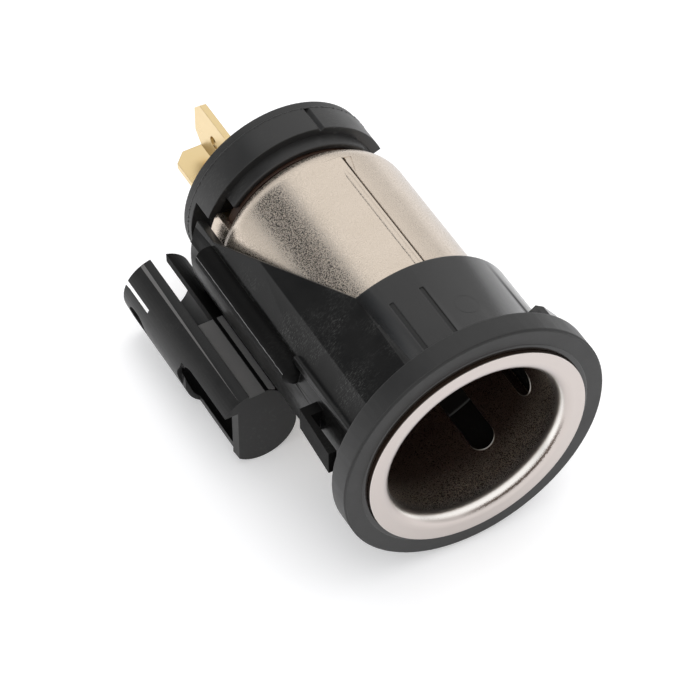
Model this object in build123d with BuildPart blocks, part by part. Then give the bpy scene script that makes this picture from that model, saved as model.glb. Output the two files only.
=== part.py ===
"""Car 12 V power socket: bezel moulding, plated shell, rear terminals.

Frame: the socket's axis lies along Y, with the mouth towards -Y and +Z up. The origin is on that axis, in the
plane of the bezel's rear face, where the bezel seats on the panel. Angles are in degrees about the axis, from
+X towards +Z, as seen from the front.
"""

import os
from math import acos, cos, degrees, radians, sin

from build123d import *

# Plug bore and shell
BORE_RADIUS = 10.75
SHELL_WALL = 1.35
RING_RADIUS = 13.6
RING_PROUD = 0.6
MOUTH_RADIUS = 1.45
SHELL_DEPTH = 38.95
SHOULDER_RADIUS = 3.3
REAR_HOLE_RADIUS = 2.4

# Windows and seam of the shell
WINDOW_WIDTH = 3.2
WINDOW_LENGTH = 12.0
WINDOW_FRONT = 2.7
WINDOW_ANGLES = (-60.5, -15.0)
SEAM_ANGLE = 75.5
SEAM_LENGTH = 30.2
SEAM_LIP_HEIGHT = 0.3
SEAM_SLIT = 0.35
SEAM_MOUTH = 1.5
SEAM_MOUTH_LENGTH = 3.4
SEAM_GROOVE_WIDTH = 2.0

# Tab of the shell behind its shoulder, which keeps the band at its distance
TAB_RADIUS = 10.85
TAB_THICKNESS = 1.0
TAB_START_ANGLE = 155.0
TAB_END_ANGLE = 171.0
TAB_ROOT = 1.3
TAB_GAP = 0.15

# Bezel and collar
BEZEL_RADIUS = 16.35
BEZEL_THICKNESS = 2.85
BEZEL_EDGE_STEP = 0.2
BEZEL_EDGE_DEPTH = 0.25
RECESS_BEVEL = 0.4
RECESS_CLEARANCE = 0.25
COLLAR_RADIUS = 13.9
COLLAR_LENGTH = 12.45
SHELL_CLEARANCE = 0.25
NOTCH_LENGTH = 2.2

# Snap tongue cut in the collar
TONGUE_ANGLE = 98.4
TONGUE_WIDTH = 3.75
TONGUE_START = 0.95
TONGUE_LENGTH = 8.2
TONGUE_SLIT = 0.5

# Key behind the flange, which stops the socket turning in its panel
KEY_ANGLE = 36.0
KEY_WIDTH = 3.8
KEY_HEIGHT = 1.6
KEY_LENGTH = 3.5
KEY_BEVEL = 0.5

# Snap finger beside the collar, thicker towards its free front end
FINGER_GAP = 1.1
FINGER_TOP = 3.45
FINGER_WIDTH = 3.2
FINGER_START = 1.3
FINGER_LENGTH = 7.1
FINGER_ROOT = 1.4
FINGER_THIN = 0.6
FINGER_THICK = 1.0

# Tapering arm along the shell
ARM_OVERHANG = 1.5
ARM_TAPER_GAP = 2.3
ARM_TOP_ANGLE = 117.2
ARM_TIP_ANGLE = 157.6
ARM_LOW_ANGLE = 226.0
FLAT_ANGLES = (130.2, 150.4)
FLAT_HALF_SPANS = (12.7, 7.5)
LIP_ANGLE = 158.0
LIP_SIZE = 0.7
LIP_LENGTH = 13.5

# Rounded rib beside the arm
RIB_RADIUS = 1.4
RIB_ANGLE = 165.5
RIB_START = 13.1
RIB_GAP = 0.5
RIB_NOSE = 0.8
RIB_NOSE_TAPER = 35.0

# Lamp-holder tube
LAMP_GAP = 0.25
LAMP_ANGLE = 216.3
LAMP_RADIUS = 4.4
LAMP_WALL = 1.2
LAMP_PROUD = 1.0
LAMP_LENGTH = 24.0
LAMP_STRETCH = 2.6
LAMP_LEAN = 108.0
LAMP_WEB = 3.0
LAMP_SLOT_ANGLE = 91.0
LAMP_SLOT_WIDTH = 2.05
LAMP_SLOT_LENGTH = 11.5
LAMP_LOW_SLOT_LENGTH = 7.0
LAMP_CHANNEL_DEPTH = 0.5
LAMP_SLIT_ANGLE = 142.0
LAMP_SLIT_WIDTH = 0.5
LAMP_SLIT_LENGTH = 5.3
LAMP_HOLE_ANGLE = 190.0
LAMP_HOLE_LENGTH = 3.3
LAMP_HOLE_WIDTH = 1.8
LAMP_HOLE_FROM_REAR = 3.1
LAMP_ARCH_LENGTH = 10.9
LAMP_ARCH_DEPTH = 2.6
LAMP_ARCH_SLANT = 8.0
LAMP_ARCH_TOP = 3.4
LAMP_ARCH_CORNER = 2.6

# Rear stack
INSULATOR_THICKNESS = 1.0
INSULATOR_RADIUS = 10.2
INNER_INSULATOR_RADIUS = 5.2
INNER_INSULATOR_THICKNESS = 0.7
SPIGOT_CLEARANCE = 0.15
STRAP_THICKNESS = 0.8
RIVET_RADIUS = 1.2
RIVET_FIT = 0.05
RIVET_HEAD_RADIUS = 2.1
RIVET_HEAD_HEIGHT = 0.6
CONTACT_RADIUS = 4.6
CONTACT_BASE_RADIUS = 3.0
CONTACT_DISH = 0.6
CONTACT_THICKNESS = 0.5

# Band and back plate around the terminals
SHROUD_RADIUS = 12.03
SHROUD_WALL = 1.2
SHROUD_START_GAP = 2.0
SHROUD_DEPTH = 3.85
SHROUD_FLOOR = 1.4
SHROUD_NOTCH_ANGLE = 73.0
SHROUD_NOTCH_DEPTH = 0.3
SHROUD_WINDOW_START = 159.0
SHROUD_WINDOW_END = 186.0
SHROUD_WINDOW_DEPTH = 2.9
HUB_RADIUS = 2.3
BACK_PLATE_THICKNESS = 1.0
BACK_PLATE_INSET = 0.1

# Blade terminals
BLADE_WIDTH = 6.3
BLADE_TIP_CHAMFER = 1.4
BLADE_HOLE_RADIUS = 0.8
BLADE_HOLE_FROM_TIP = 4.6
BLADE_LENGTH = 8.75
BLADE_SLOT_CLEARANCE = 0.2
POSITIVE_BLADE_X = -5.3
POSITIVE_BLADE_BOTTOM = 2.65
POSITIVE_STRAP_WIDTH = 4.0
GROUND_BLADE_Z = 0.8
GROUND_BLADE_LEFT = -8.9
GROUND_STRAP_DROP = 5.9
GROUND_RIVET_INSET = 3.7
GROUND_RIVET_DROP = 3.8
GROUND_RIVET_RADIUS = 0.8
GROUND_RIVET_HEAD = 1.4
GROUND_RIVET_HEAD_HEIGHT = 0.6
GROUND_GAP = 0.5

# Worked-out places
FRONT_Y = -BEZEL_THICKNESS - RING_PROUD
SHELL_RADIUS = BORE_RADIUS + SHELL_WALL
SHELL_REAR = FRONT_Y + SHELL_DEPTH
ARM_END = SHELL_REAR + ARM_OVERHANG
ARM_TAPER_END = SHELL_REAR - ARM_TAPER_GAP
RING_SEAT = FRONT_Y + SHELL_WALL
COLLAR_BORE = SHELL_RADIUS + SHELL_CLEARANCE
INSULATOR_REAR = SHELL_REAR + INSULATOR_THICKNESS
STRAP_REAR = INSULATOR_REAR + STRAP_THICKNESS
SHROUD_BORE = SHROUD_RADIUS - SHROUD_WALL
SHROUD_START = SHELL_REAR + SHROUD_START_GAP
SHROUD_REAR = SHROUD_START + SHROUD_DEPTH
PLATE_REAR = SHROUD_REAR + BACK_PLATE_THICKNESS
BLADE_TIP = PLATE_REAR + BLADE_LENGTH
POSITIVE_BLADE_Z = POSITIVE_BLADE_BOTTOM + BLADE_WIDTH / 2
GROUND_BLADE_X = GROUND_BLADE_LEFT + BLADE_WIDTH / 2
GROUND_RIVET_X = GROUND_BLADE_LEFT + BLADE_WIDTH - GROUND_RIVET_INSET
GROUND_RIVET_Z = GROUND_BLADE_Z - GROUND_RIVET_DROP
LAMP_DISTANCE = COLLAR_RADIUS + LAMP_RADIUS + LAMP_GAP
LAMP_X = LAMP_DISTANCE * cos(radians(LAMP_ANGLE))
LAMP_Z = LAMP_DISTANCE * sin(radians(LAMP_ANGLE))
LAMP_END = PLATE_REAR + LAMP_PROUD
LAMP_START = LAMP_END - LAMP_LENGTH
RIB_DISTANCE = COLLAR_BORE + RIB_RADIUS + RIB_GAP
REACH = 2 * BEZEL_RADIUS


def station(y, x=0.0, z=0.0):
    """Section plane at distance y behind the panel seat: local x is X, local y is Z.

    A negative extrude goes back, towards the blades.
    """
    return Plane(origin=(x, y, z), x_dir=(1, 0, 0), z_dir=(0, -1, 0))


def outward(angle, y, distance=0.0, x=0.0, z=0.0):
    """Plane that faces away from an axis along Y: local x runs back along Y, the normal points outward."""
    direction = Vector(cos(radians(angle)), 0, sin(radians(angle)))
    return Plane(origin=Vector(x, y, z) + direction * distance, x_dir=(0, 1, 0), z_dir=direction)


def polar(radius, angle):
    return (radius * cos(radians(angle)), radius * sin(radians(angle)))


def sector(radius, start, end):
    """Wedge of a section plane between two angles, wider than the given radius."""
    middle = (start + end) / 2
    reach = radius / cos(radians((end - start) / 4))
    with BuildLine() as wedge:
        Polyline((0, 0), polar(reach, start), polar(reach, middle), polar(reach, end), close=True)
    make_face(wedge.edges())


# Nickel-plated shell: one sheet, drawn from the front ring through the mouth to the rear wall
with BuildPart() as socket_shell:
    with BuildSketch(Plane.XY):
        with BuildLine():
            FilletPolyline(
                (RING_RADIUS, FRONT_Y),
                (BORE_RADIUS, FRONT_Y),
                (BORE_RADIUS, SHELL_REAR - SHELL_WALL),
                (REAR_HOLE_RADIUS, SHELL_REAR - SHELL_WALL),
                radius=[MOUTH_RADIUS, SHOULDER_RADIUS - SHELL_WALL],
            )
            offset(amount=SHELL_WALL, side=Side.RIGHT)
        make_face()
    revolve(axis=Axis.Y)
    for window_angle in WINDOW_ANGLES:
        with BuildSketch(outward(window_angle, WINDOW_FRONT + WINDOW_LENGTH / 2)):
            SlotOverall(WINDOW_LENGTH, WINDOW_WIDTH)
        extrude(amount=REACH, mode=Mode.SUBTRACT)
    seam_end = SHELL_REAR - SHOULDER_RADIUS
    # One side of the seam stays straight where the sheet ends: it leaves the round at a tangent
    lip_span = degrees(acos(SHELL_RADIUS / (SHELL_RADIUS + SEAM_LIP_HEIGHT)))
    with BuildSketch(station(seam_end)):
        with BuildLine():
            Polyline(
                polar(SHELL_RADIUS - SHELL_WALL / 2, SEAM_ANGLE),
                polar(SHELL_RADIUS + SEAM_LIP_HEIGHT, SEAM_ANGLE),
                polar(SHELL_RADIUS, SEAM_ANGLE + lip_span),
                polar(SHELL_RADIUS - SHELL_WALL / 2, SEAM_ANGLE + lip_span),
                close=True,
            )
        make_face()
    extrude(amount=SEAM_LENGTH)
    with BuildSketch(outward(SEAM_ANGLE, seam_end)):
        with BuildLine():
            Polyline(
                (-SEAM_LENGTH, SEAM_SLIT / 2),
                (0, SEAM_SLIT / 2),
                (0, SEAM_SLIT / 2 - SEAM_MOUTH),
                (-SEAM_MOUTH_LENGTH, -SEAM_SLIT / 2),
                (-SEAM_LENGTH, -SEAM_SLIT / 2),
                close=True,
            )
        make_face()
    extrude(amount=REACH, mode=Mode.SUBTRACT)
    with BuildSketch(station(SHELL_REAR, GROUND_RIVET_X, GROUND_RIVET_Z)):
        Circle(GROUND_RIVET_RADIUS + RIVET_FIT)
    extrude(amount=SHELL_WALL, mode=Mode.SUBTRACT)

    # Tab that stands on the shoulder and ends just in front of the band
    with BuildSketch(station(SHROUD_START - TAB_GAP)):
        sector(REACH, TAB_START_ANGLE, TAB_END_ANGLE)
        Circle(TAB_RADIUS + TAB_THICKNESS / 2, mode=Mode.INTERSECT)
        Circle(TAB_RADIUS - TAB_THICKNESS / 2, mode=Mode.SUBTRACT)
    extrude(amount=SHROUD_START_GAP - TAB_GAP + TAB_ROOT)

socket_shell.part.label = "socket_shell"


def lamp_outward(angle, y, distance=0.0):
    """Outward plane on the lamp tube's own axis."""
    return outward(angle, y, distance, LAMP_X, LAMP_Z)


# Bezel moulding: flange, collar, arm, rib and lamp tube in one piece
with BuildPart() as bezel_housing:
    with BuildSketch(Plane.XY):
        with BuildLine():
            Polyline(
                (COLLAR_BORE, ARM_END),
                (COLLAR_BORE, RING_SEAT),
                (RING_RADIUS + RECESS_CLEARANCE, RING_SEAT),
                (RING_RADIUS + RECESS_CLEARANCE, RECESS_BEVEL - BEZEL_THICKNESS),
                (RING_RADIUS + RECESS_CLEARANCE + RECESS_BEVEL, -BEZEL_THICKNESS),
                (BEZEL_RADIUS - BEZEL_EDGE_STEP, -BEZEL_THICKNESS),
                (BEZEL_RADIUS - BEZEL_EDGE_STEP, BEZEL_EDGE_DEPTH - BEZEL_THICKNESS),
                (BEZEL_RADIUS, BEZEL_EDGE_DEPTH - BEZEL_THICKNESS),
                (BEZEL_RADIUS, 0),
                (COLLAR_RADIUS, 0),
                (COLLAR_RADIUS, ARM_END),
                close=True,
            )
        make_face()
    revolve(axis=Axis.Y)

    # Groove in the collar's bore that the shell's seam lip lies in
    with BuildSketch(outward(SEAM_ANGLE, COLLAR_LENGTH, 0)):
        Rectangle(2 * COLLAR_LENGTH, SEAM_GROOVE_WIDTH)
    extrude(amount=COLLAR_BORE + SEAM_LIP_HEIGHT, mode=Mode.SUBTRACT)

    # Arm: behind the collar only a strip of the wall is left, which tapers towards its tip
    with BuildSketch(station(COLLAR_LENGTH)):
        sector(COLLAR_RADIUS, ARM_LOW_ANGLE, ARM_TOP_ANGLE + 360)
    extrude(amount=COLLAR_LENGTH - ARM_END, mode=Mode.SUBTRACT)
    arm_half_sweep = COLLAR_RADIUS * sin(radians(ARM_TIP_ANGLE - ARM_TOP_ANGLE) / 2)
    with BuildSketch(outward((ARM_TOP_ANGLE + ARM_TIP_ANGLE) / 2, 0)):
        with BuildLine():
            Polyline(
                (COLLAR_LENGTH, -arm_half_sweep),
                (ARM_TAPER_END, arm_half_sweep),
                (ARM_END, arm_half_sweep),
                (ARM_END, -REACH),
                (COLLAR_LENGTH, -REACH),
                close=True,
            )
        make_face()
    extrude(amount=REACH, mode=Mode.SUBTRACT)
    for flat_angle, half_span in zip(FLAT_ANGLES, FLAT_HALF_SPANS):
        with BuildSketch(outward(flat_angle, ARM_END / 2, COLLAR_RADIUS * cos(radians(half_span)))):
            Rectangle(ARM_END, 2 * COLLAR_RADIUS * sin(radians(half_span)))
        extrude(amount=COLLAR_RADIUS - COLLAR_BORE, mode=Mode.SUBTRACT)
    with BuildSketch(outward(LIP_ANGLE, LIP_LENGTH / 2, COLLAR_BORE + LIP_SIZE)):
        Rectangle(LIP_LENGTH, LIP_SIZE)
    extrude(amount=COLLAR_RADIUS - COLLAR_BORE)

    # Rounded rib beside the arm, with a tapered nose at its front end
    with BuildSketch(station(RIB_START, *polar(RIB_DISTANCE, RIB_ANGLE))):
        Circle(RIB_RADIUS)
    extrude(amount=RIB_START - ARM_TAPER_END)
    with BuildSketch(station(RIB_START, *polar(RIB_DISTANCE, RIB_ANGLE))):
        Circle(RIB_RADIUS)
    extrude(amount=RIB_NOSE, taper=RIB_NOSE_TAPER)

    # Lamp tube, closed at the front: a leaning oval on a web that stands on the arm
    with BuildSketch(station(LAMP_START, LAMP_X, LAMP_Z)):
        SlotCenterToCenter(LAMP_STRETCH, 2 * LAMP_RADIUS, rotation=LAMP_LEAN)
    extrude(amount=-LAMP_LENGTH)
    web_length = LAMP_DISTANCE - COLLAR_BORE - LAMP_RADIUS + LAMP_WALL / 2 - RIB_GAP
    with BuildSketch(station(LAMP_START, *polar(COLLAR_BORE + RIB_GAP + web_length / 2, LAMP_ANGLE))):
        Rectangle(web_length, LAMP_WEB, rotation=LAMP_ANGLE)
    extrude(amount=LAMP_START - ARM_END)
    with BuildSketch(station(LAMP_START + LAMP_WALL, LAMP_X, LAMP_Z)):
        SlotCenterToCenter(LAMP_STRETCH, 2 * (LAMP_RADIUS - LAMP_WALL), rotation=LAMP_LEAN)
    extrude(amount=-LAMP_LENGTH, mode=Mode.SUBTRACT)

    # Slots of the lamp tube: through slot above and below, channel, slit, side hole and arched opening
    for slot_angle, slot_length in (
        (LAMP_SLOT_ANGLE, LAMP_SLOT_LENGTH),
        (LAMP_SLOT_ANGLE + 180, LAMP_LOW_SLOT_LENGTH),
    ):
        with BuildSketch(lamp_outward(slot_angle, LAMP_END - slot_length / 2)):
            Rectangle(slot_length, LAMP_SLOT_WIDTH)
        extrude(amount=LAMP_RADIUS + LAMP_STRETCH / 2, mode=Mode.SUBTRACT)
    channel_length = LAMP_LENGTH - LAMP_SLOT_LENGTH
    channel_floor = LAMP_RADIUS + LAMP_STRETCH / 2 - LAMP_CHANNEL_DEPTH
    with BuildSketch(lamp_outward(LAMP_SLOT_ANGLE, LAMP_START + channel_length / 2, channel_floor)):
        Rectangle(channel_length, LAMP_SLOT_WIDTH)
    extrude(amount=LAMP_CHANNEL_DEPTH, mode=Mode.SUBTRACT)
    with BuildSketch(lamp_outward(LAMP_SLIT_ANGLE, LAMP_END - LAMP_SLIT_LENGTH / 2)):
        Rectangle(LAMP_SLIT_LENGTH, LAMP_SLIT_WIDTH)
    extrude(amount=LAMP_RADIUS + LAMP_STRETCH, mode=Mode.SUBTRACT)
    with BuildSketch(lamp_outward(LAMP_HOLE_ANGLE, LAMP_END - LAMP_HOLE_FROM_REAR)):
        SlotOverall(LAMP_HOLE_LENGTH, LAMP_HOLE_WIDTH)
    extrude(amount=LAMP_RADIUS + LAMP_STRETCH, mode=Mode.SUBTRACT)
    arch_along = (-sin(radians(LAMP_ARCH_SLANT)), cos(radians(LAMP_ARCH_SLANT)), 0)
    arch_out = (-cos(radians(LAMP_ARCH_SLANT)), -sin(radians(LAMP_ARCH_SLANT)), 0)
    arch_middle = (LAMP_X - LAMP_ARCH_DEPTH, LAMP_START, LAMP_Z)
    with BuildSketch(Plane(origin=arch_middle, x_dir=arch_along, z_dir=arch_out)):
        with Locations((0, 2 * LAMP_RADIUS - LAMP_ARCH_TOP)):
            RectangleRounded(2 * LAMP_ARCH_LENGTH, 4 * LAMP_RADIUS, LAMP_ARCH_CORNER)
    extrude(amount=LAMP_RADIUS, mode=Mode.SUBTRACT)

    # Snap tongue: a slit on three sides, open towards the flange
    tongue_middle = TONGUE_START + TONGUE_LENGTH / 2
    with BuildSketch(outward(TONGUE_ANGLE, tongue_middle)):
        with GridLocations(0, TONGUE_WIDTH, 1, 2):
            Rectangle(TONGUE_LENGTH, TONGUE_SLIT)
        with Locations((-(TONGUE_LENGTH - TONGUE_SLIT) / 2, 0)):
            Rectangle(TONGUE_SLIT, TONGUE_WIDTH + TONGUE_SLIT)
    extrude(amount=REACH, mode=Mode.SUBTRACT)
    with BuildSketch(outward(WINDOW_ANGLES[0], COLLAR_LENGTH)):
        Rectangle(2 * NOTCH_LENGTH, WINDOW_WIDTH)
    extrude(amount=REACH, mode=Mode.SUBTRACT)

    # Key: a bevelled block behind the flange
    with BuildSketch(outward(KEY_ANGLE, KEY_LENGTH / 2, COLLAR_BORE)):
        Rectangle(KEY_LENGTH, KEY_WIDTH)
    extrude(amount=COLLAR_RADIUS + KEY_HEIGHT - KEY_BEVEL - COLLAR_BORE)
    with BuildSketch(outward(KEY_ANGLE, KEY_LENGTH / 2, COLLAR_RADIUS + KEY_HEIGHT - KEY_BEVEL)):
        Rectangle(KEY_LENGTH, KEY_WIDTH)
    extrude(amount=KEY_BEVEL, taper=45)

    # Snap finger: its root stands on the collar, its free end points at the flange
    finger_inside = COLLAR_RADIUS + FINGER_GAP
    finger_rear = FINGER_START + FINGER_LENGTH
    with BuildSketch(Plane.XY.offset(FINGER_TOP)):
        with BuildLine():
            Polyline(
                (-COLLAR_BORE - FINGER_THIN, finger_rear),
                (-COLLAR_BORE - FINGER_THIN, finger_rear - FINGER_ROOT),
                (-finger_inside, finger_rear - FINGER_ROOT),
                (-finger_inside, FINGER_START),
                (-finger_inside - FINGER_THICK, FINGER_START),
                (-finger_inside - FINGER_THIN, finger_rear),
                close=True,
            )
        make_face()
    extrude(amount=-FINGER_WIDTH)

bezel_housing.part.label = "bezel_housing"


def blade_slots():
    """Two slots, in a section plane, that the blades pass through with clearance."""
    with Locations((POSITIVE_BLADE_X, POSITIVE_BLADE_Z)):
        Rectangle(STRAP_THICKNESS + 2 * BLADE_SLOT_CLEARANCE, BLADE_WIDTH + 2 * BLADE_SLOT_CLEARANCE)
    with Locations((GROUND_BLADE_X, GROUND_BLADE_Z)):
        Rectangle(BLADE_WIDTH + 2 * BLADE_SLOT_CLEARANCE, STRAP_THICKNESS + 2 * BLADE_SLOT_CLEARANCE)


# Band around the terminals: a cup that opens towards the shell
with BuildPart() as terminal_shroud:
    with BuildSketch(Plane.XY):
        with BuildLine():
            Polyline(
                (0, SHROUD_REAR),
                (0, SHROUD_REAR - SHROUD_FLOOR),
                (SHROUD_BORE, SHROUD_REAR - SHROUD_FLOOR),
                (SHROUD_BORE, SHROUD_START),
                (SHROUD_RADIUS, SHROUD_START),
                (SHROUD_RADIUS, SHROUD_REAR),
                close=True,
            )
        make_face()
    revolve(axis=Axis.Y)

    # Two opposite windows, one of them above the arm's end, and a notch along the band
    for window_start, window_end in (
        (SHROUD_WINDOW_START, SHROUD_WINDOW_END),
        (180 - SHROUD_WINDOW_END, 180 - SHROUD_WINDOW_START),
    ):
        with BuildSketch(station(SHROUD_START)):
            sector(REACH, window_start, window_end)
            Circle(SHROUD_BORE - SHROUD_WALL, mode=Mode.SUBTRACT)
        extrude(amount=-SHROUD_WINDOW_DEPTH, mode=Mode.SUBTRACT)
    with BuildSketch(station(SHROUD_START, *polar(SHROUD_RADIUS, SHROUD_NOTCH_ANGLE))):
        Rectangle(2 * SHROUD_NOTCH_DEPTH, 2 * SHROUD_NOTCH_DEPTH, rotation=SHROUD_NOTCH_ANGLE + 45)
    extrude(amount=-SHROUD_DEPTH, mode=Mode.SUBTRACT)

    # Hub under the strap, rivet hole and blade slots
    with BuildSketch(station(STRAP_REAR)):
        Circle(HUB_RADIUS)
    extrude(amount=STRAP_REAR - SHROUD_REAR)
    with BuildSketch(station(SHROUD_REAR)):
        Circle(RIVET_RADIUS + RIVET_FIT)
        blade_slots()
    extrude(amount=SHROUD_REAR - SHELL_REAR, mode=Mode.SUBTRACT)

terminal_shroud.part.label = "terminal_shroud"

# Plate that closes the band at the rear
with BuildPart() as back_plate:
    with BuildSketch(station(SHROUD_REAR)):
        Circle(SHROUD_RADIUS - BACK_PLATE_INSET)
        Circle(RIVET_RADIUS + RIVET_FIT, mode=Mode.SUBTRACT)
    extrude(amount=-BACK_PLATE_THICKNESS)
    with BuildSketch(station(SHROUD_REAR)):
        blade_slots()
    extrude(amount=-BACK_PLATE_THICKNESS, mode=Mode.SUBTRACT)

back_plate.part.label = "back_plate"

# Washer behind the shell, with a spigot and a cut-out for the ground strap
with BuildPart() as rear_insulator:
    with BuildSketch(station(SHELL_REAR)):
        Circle(INSULATOR_RADIUS)
        with Locations((GROUND_BLADE_X - GROUND_GAP, GROUND_BLADE_Z - GROUND_STRAP_DROP / 2)):
            Rectangle(
                BLADE_WIDTH + 4 * GROUND_GAP,
                GROUND_STRAP_DROP + STRAP_THICKNESS + 2 * GROUND_GAP,
                mode=Mode.SUBTRACT,
            )
    extrude(amount=-INSULATOR_THICKNESS)
    with BuildSketch(station(SHELL_REAR - SHELL_WALL)):
        Circle(REAR_HOLE_RADIUS - SPIGOT_CLEARANCE)
    extrude(amount=-SHELL_WALL)
    with BuildSketch(station(INSULATOR_REAR)):
        Circle(RIVET_RADIUS + RIVET_FIT)
    extrude(amount=INSULATOR_THICKNESS + SHELL_WALL, mode=Mode.SUBTRACT)

rear_insulator.part.label = "rear_insulator"

# Washer inside the shell, under the centre contact
with BuildPart() as inner_insulator:
    with BuildSketch(station(SHELL_REAR - SHELL_WALL)):
        Circle(INNER_INSULATOR_RADIUS)
        Circle(RIVET_RADIUS + RIVET_FIT, mode=Mode.SUBTRACT)
    extrude(amount=INNER_INSULATOR_THICKNESS)

inner_insulator.part.label = "inner_insulator"

# Centre contact: a dished brass disc, its rim towards the mouth
contact_seat = SHELL_REAR - SHELL_WALL - INNER_INSULATOR_THICKNESS
with BuildPart() as centre_contact:
    with BuildSketch(Plane.XY):
        with BuildLine():
            Polyline(
                (RIVET_RADIUS + RIVET_FIT, contact_seat),
                (CONTACT_BASE_RADIUS, contact_seat),
                (CONTACT_RADIUS, contact_seat - CONTACT_DISH),
            )
            offset(amount=CONTACT_THICKNESS, side=Side.RIGHT)
        make_face()
    revolve(axis=Axis.Y)

centre_contact.part.label = "centre_contact"


def rivet_profile(radius, head_radius, head_height, front, rear):
    """Half section of a rivet with a bevelled head at each end, between two seats along local y."""
    with BuildLine() as section:
        Polyline(
            (0, front - head_height),
            (head_radius / 2, front - head_height),
            (head_radius, front - head_height / 3),
            (head_radius, front),
            (radius, front),
            (radius, rear),
            (head_radius, rear),
            (head_radius, rear + head_height / 3),
            (head_radius / 2, rear + head_height),
            (0, rear + head_height),
            close=True,
        )
    make_face(section.edges())


# Rivet that clamps the contact, the washers, the strap, the band and the plate
with BuildPart() as centre_rivet:
    with BuildSketch(Plane.XY):
        rivet_profile(
            RIVET_RADIUS,
            RIVET_HEAD_RADIUS,
            RIVET_HEAD_HEIGHT,
            contact_seat - CONTACT_THICKNESS,
            PLATE_REAR,
        )
    revolve(axis=Axis.Y)

centre_rivet.part.label = "centre_rivet"

# Ground rivet through the strap and the shell's rear wall
with BuildPart() as ground_rivet:
    ground_rivet_middle = (GROUND_RIVET_X, 0, GROUND_RIVET_Z)
    with BuildSketch(Plane(origin=ground_rivet_middle, x_dir=(1, 0, 0), z_dir=(0, 0, 1))):
        rivet_profile(
            GROUND_RIVET_RADIUS,
            GROUND_RIVET_HEAD,
            GROUND_RIVET_HEAD_HEIGHT,
            SHELL_REAR - SHELL_WALL,
            SHELL_REAR + STRAP_THICKNESS,
        )
    revolve(axis=Axis(ground_rivet_middle, (0, 1, 0)))

ground_rivet.part.label = "ground_rivet"


def blade_outline(seat, tip):
    """Blade from its bend to a chamfered tip: local x runs back along Y, centred on the blade's width."""
    half = BLADE_WIDTH / 2
    with BuildLine() as outline:
        Polyline(
            (seat, -half),
            (tip - BLADE_TIP_CHAMFER, -half),
            (tip, BLADE_TIP_CHAMFER - half),
            (tip, half - BLADE_TIP_CHAMFER),
            (tip - BLADE_TIP_CHAMFER, half),
            (seat, half),
            close=True,
        )
    make_face(outline.edges())
    with Locations((tip - BLADE_HOLE_FROM_TIP, 0)):
        Circle(BLADE_HOLE_RADIUS, mode=Mode.SUBTRACT)


# Positive blade: a strap from the rivet, past the ground blade, to a bend, then an upright blade
with BuildPart() as positive_blade:
    with BuildSketch(station(INSULATOR_REAR)):
        with Locations((POSITIVE_BLADE_X - STRAP_THICKNESS / 2, POSITIVE_BLADE_Z)):
            Rectangle(
                POSITIVE_STRAP_WIDTH / 2 + STRAP_THICKNESS / 2 - POSITIVE_BLADE_X,
                BLADE_WIDTH,
                align=(Align.MIN, Align.CENTER),
            )
        Rectangle(POSITIVE_STRAP_WIDTH, POSITIVE_BLADE_Z, align=(Align.CENTER, Align.MIN))
        Circle(HUB_RADIUS)
        Circle(RIVET_RADIUS + RIVET_FIT, mode=Mode.SUBTRACT)
    extrude(amount=-STRAP_THICKNESS)
    upright = Plane(origin=(POSITIVE_BLADE_X, 0, POSITIVE_BLADE_Z), x_dir=(0, 1, 0), z_dir=(1, 0, 0))
    with BuildSketch(upright):
        blade_outline(INSULATOR_REAR, BLADE_TIP)
    extrude(amount=STRAP_THICKNESS / 2, both=True)

positive_blade.part.label = "positive_blade"

# Ground blade: a strap on the shell's rear wall, then a flat blade
with BuildPart() as ground_blade:
    with BuildSketch(station(SHELL_REAR)):
        with Locations((GROUND_BLADE_X, GROUND_BLADE_Z + STRAP_THICKNESS / 2)):
            Rectangle(BLADE_WIDTH, GROUND_STRAP_DROP, align=(Align.CENTER, Align.MAX))
        with Locations((GROUND_RIVET_X, GROUND_RIVET_Z)):
            Circle(GROUND_RIVET_RADIUS + RIVET_FIT, mode=Mode.SUBTRACT)
    extrude(amount=-STRAP_THICKNESS)
    with BuildSketch(Plane(origin=(GROUND_BLADE_X, 0, GROUND_BLADE_Z), x_dir=(0, 1, 0), z_dir=(0, 0, 1))):
        blade_outline(SHELL_REAR, BLADE_TIP)
    extrude(amount=STRAP_THICKNESS / 2, both=True)

ground_blade.part.label = "ground_blade"

os.makedirs("parts", exist_ok=True)
export_step(bezel_housing.part, "parts/bezel_housing.step")
export_step(socket_shell.part, "parts/socket_shell.step")
export_step(terminal_shroud.part, "parts/terminal_shroud.step")
export_step(back_plate.part, "parts/back_plate.step")
export_step(rear_insulator.part, "parts/rear_insulator.step")
export_step(inner_insulator.part, "parts/inner_insulator.step")
export_step(centre_contact.part, "parts/centre_contact.step")
export_step(centre_rivet.part, "parts/centre_rivet.step")
export_step(ground_rivet.part, "parts/ground_rivet.step")
export_step(positive_blade.part, "parts/positive_blade.step")
export_step(ground_blade.part, "parts/ground_blade.step")
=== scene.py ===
"""Looks of a car 12 V power socket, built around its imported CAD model.

The CAD nodes keep their shapes, apart from the bezel: a copy of it stands in its place, with the lamp tube
opened out. This script gives every piece a procedural finish, adds the lips, webs and flash that are too
thin for the solids, and sets the floor, the light and the camera. Lengths are in metres, in the frame of the
CAD model: the socket's axis lies along Y, with the mouth towards -Y and +Z up. Angles are in degrees unless
a comment says otherwise, and an angle about the axis runs from +X up to +Z.
"""

from math import atan2, cos, degrees, hypot, pi, radians, sin

import bmesh
import bpy
from mathutils import Matrix, Vector, noise


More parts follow.
